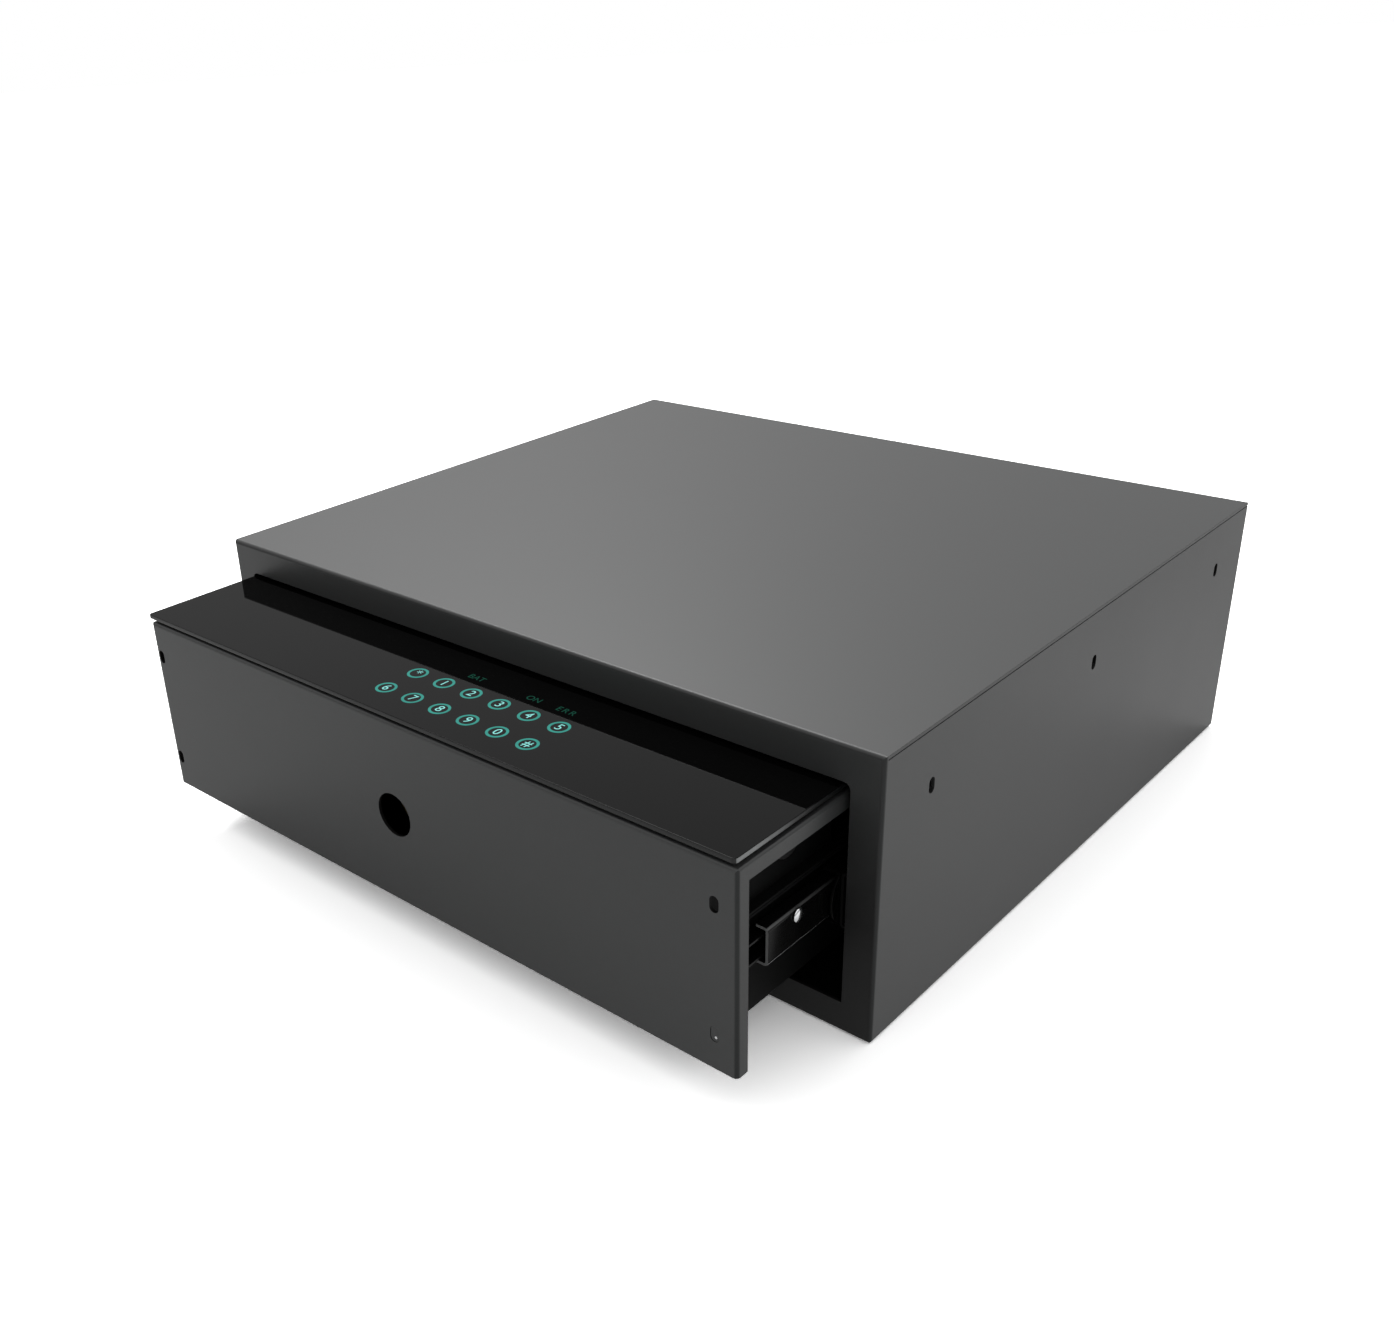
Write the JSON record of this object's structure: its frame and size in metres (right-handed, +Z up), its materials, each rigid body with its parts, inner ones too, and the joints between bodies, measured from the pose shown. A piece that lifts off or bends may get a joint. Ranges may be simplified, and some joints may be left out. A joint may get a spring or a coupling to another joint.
{
  "type": "under desk drawer safe",
  "caption": "Flat steel security box with a glass-topped drawer on ball slides, a touch keypad, an override key lock and two side bolts.",
  "frame": {"origin": "the middle of the housing's flat underside", "axes": "+Z up, -Y the way the drawer opens, +X to the right seen from the front"},
  "size_m": [0.4, 0.4154, 0.13],
  "materials": {
    "black_powder_coat": "fine semi-matt powder coat on folded steel",
    "black_inner_coat": "matt powder coat, thinner inside",
    "blackened_steel": "black electrophoretic coat on roll-formed steel",
    "zinc_steel": "bright zinc plate",
    "bright_steel": "polished nickel plate",
    "black_glass": "float glass, printed black on its underside",
    "black_foam": "double-sided foam tape",
    "circuit_board": "green solder mask",
    "grey_felt": "needled felt",
    "white_nylon": "natural moulded nylon",
    "black_plastic": "moulded, fine texture",
    "black_rubber": "moulded rubber",
    "brass": "turned brass",
    "cell_wrap": "plain shrink wrap"
  },
  "bodies": {
    "housing": {"housing_shell": "black_powder_coat", "housing_back": "black_powder_coat", "rear_bumper_left": "black_rubber", "rear_bumper_right": "black_rubber", "slide_bracket_left": "black_inner_coat", "slide_bracket_right": "black_inner_coat", "cabinet_member_left": "blackened_steel", "cabinet_member_right": "blackened_steel", "strike_bracket_left": "zinc_steel", "strike_bracket_right": "zinc_steel"},
    "drawer": {"drawer_front_cover": "black_powder_coat", "fascia_screw": "blackened_steel", "touch_glass": "black_glass", "glass_tape": "black_foam", "keypad_board": "circuit_board", "tray": "black_inner_coat", "tray_mat": "grey_felt", "lock_chassis": "black_inner_coat", "mechanism_plate": "zinc_steel", "drawer_member_left": "blackened_steel", "drawer_member_right": "blackened_steel", "slide_stud_left_front": "zinc_steel", "slide_stud_left_rear": "zinc_steel", "slide_stud_right_front": "zinc_steel", "slide_stud_right_rear": "zinc_steel", "cam_washer": "white_nylon", "lock_motor": "bright_steel", "bolt_guide_left": "black_plastic", "bolt_guide_right": "black_plastic", "key_cylinder": "brass", "cylinder_nut": "zinc_steel", "control_board": "circuit_board", "board_screw_1": "zinc_steel", "board_screw_2": "zinc_steel", "board_screw_3": "zinc_steel", "board_screw_4": "zinc_steel", "position_switch": "black_plastic", "battery_holder": "black_plastic", "battery_1": "cell_wrap", "battery_2": "cell_wrap", "battery_3": "cell_wrap", "battery_4": "cell_wrap", "battery_contact_front": "bright_steel", "battery_contact_rear": "bright_steel", "battery_cover": "black_inner_coat", "battery_cover_screw": "zinc_steel"},
    "middle_members": {"middle_member_left": "blackened_steel", "middle_member_right": "blackened_steel", "middle_rivet_left": "bright_steel", "middle_rivet_right": "bright_steel"},
    "outer_ball_cages": {"outer_ball_cage_left": "zinc_steel", "outer_ball_cage_right": "zinc_steel"},
    "inner_ball_cages": {"inner_ball_cage_left": "zinc_steel", "inner_ball_cage_right": "zinc_steel"},
    "lock_cam": {"lock_cam": "zinc_steel", "motor_shaft": "bright_steel"},
    "left_bolt": {"lock_bolt_left": "bright_steel"},
    "right_bolt": {"lock_bolt_right": "bright_steel"},
    "key_plug": {"key_plug": "brass", "key_lever": "zinc_steel"}
  },
  "joints": [
    {"name": "drawer_slide", "type": "slide", "parent": "housing", "child": "drawer", "axis": [0, -1, 0], "range_m": [-0.0654, 0.2346]},
    {"name": "middle_slide", "type": "slide", "parent": "housing", "child": "middle_members", "axis": [0, -1, 0], "range_m": [-0.0459, 0.1643]},
    {"name": "outer_cage_slide", "type": "slide", "parent": "housing", "child": "outer_ball_cages", "axis": [0, -1, 0], "range_m": [-0.023, 0.0822]},
    {"name": "inner_cage_slide", "type": "slide", "parent": "housing", "child": "inner_ball_cages", "axis": [0, -1, 0], "range_m": [-0.0557, 0.1995]},
    {"name": "lock_cam_turn", "type": "hinge", "parent": "drawer", "child": "lock_cam", "pos_m": [0, -0.1864, 0.0862], "axis": [0, 0, 1], "range_deg": [0, 90]},
    {"name": "left_bolt_slide", "type": "slide", "parent": "drawer", "child": "left_bolt", "axis": [-1, 0, 0], "range_m": [0, 0.0141]},
    {"name": "right_bolt_slide", "type": "slide", "parent": "drawer", "child": "right_bolt", "axis": [1, 0, 0], "range_m": [0, 0.0141]},
    {"name": "key_turn", "type": "hinge", "parent": "drawer", "child": "key_plug", "pos_m": [-0.0034, -0.2034, 0.0623], "axis": [0, 1, 0], "range_deg": [0, 90]}
  ],
  "couplings": [
    {"joint": "middle_slide", "follows": "drawer_slide", "ratio": 0.7},
    {"joint": "outer_cage_slide", "follows": "drawer_slide", "ratio": 0.35},
    {"joint": "inner_cage_slide", "follows": "drawer_slide", "ratio": 0.85},
    {"joint": "left_bolt_slide", "follows": "lock_cam_turn", "m_per_rad": 0.0089127},
    {"joint": "right_bolt_slide", "follows": "lock_cam_turn", "m_per_rad": 0.0089127}
  ]
}
